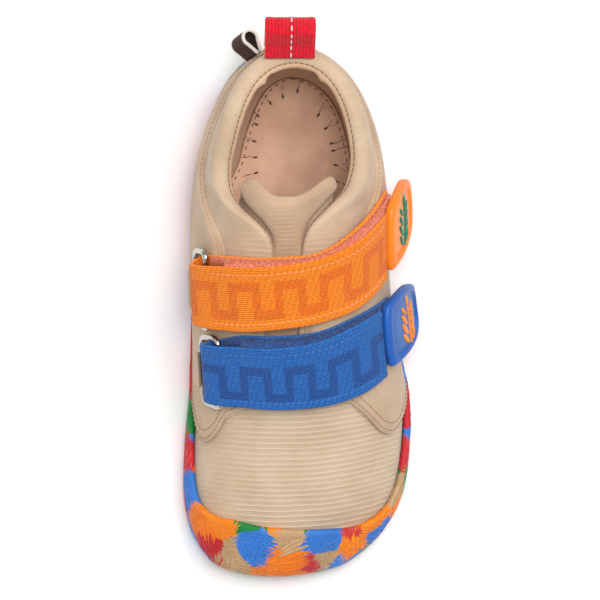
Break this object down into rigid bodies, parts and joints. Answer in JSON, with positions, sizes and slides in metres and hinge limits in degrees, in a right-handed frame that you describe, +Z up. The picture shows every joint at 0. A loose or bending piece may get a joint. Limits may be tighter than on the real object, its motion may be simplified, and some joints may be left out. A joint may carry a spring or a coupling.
{
  "type": "prewalker shoe",
  "caption": "Child's soft prewalker shoe for the left foot: ribbed suede upper, padded tongue and collar, webbing straps turned back through rings, marbled rubber cup sole",
  "frame": {"origin": "on the tread, on the sole's flat ground face under the middle of the foot", "axes": "+Z up; +Y from toe to heel, the longest extent; +X towards the lateral (outer) side of this left shoe"},
  "size_m": [0.0683, 0.1598, 0.061],
  "materials": {
    "sole_rubber": "marbled moulded rubber, satin",
    "suede": "ribbed suede, matte",
    "lining_leather": "smooth lining leather",
    "orange_webbing": "woven webbing",
    "salmon_loop_tape": "napped loop tape",
    "orange_tab_rubber": "soft moulded rubber",
    "blue_webbing": "woven webbing",
    "blue_loop_tape": "napped loop tape",
    "blue_tab_rubber": "soft moulded rubber",
    "ring_steel": "polished nickel-plated steel wire",
    "red_webbing": "woven webbing",
    "ribbon": "woven ribbon"
  },
  "bodies": {
    "root": {"outsole": "sole_rubber", "upper": "suede", "insole": "lining_leather", "tongue": "suede", "quarter_medial": "suede", "quarter_lateral": "suede", "strap_upper": "orange_webbing", "loop_tape_upper": "salmon_loop_tape", "strap_tab_upper": "orange_tab_rubber", "ring_upper": "ring_steel", "ring_keeper_upper": "suede", "strap_lower": "blue_webbing", "loop_tape_lower": "blue_loop_tape", "strap_tab_lower": "blue_tab_rubber", "ring_lower": "ring_steel", "ring_keeper_lower": "suede", "heel_loop": "red_webbing", "side_ribbon_loop": "ribbon"}
  },
  "joints": []
}
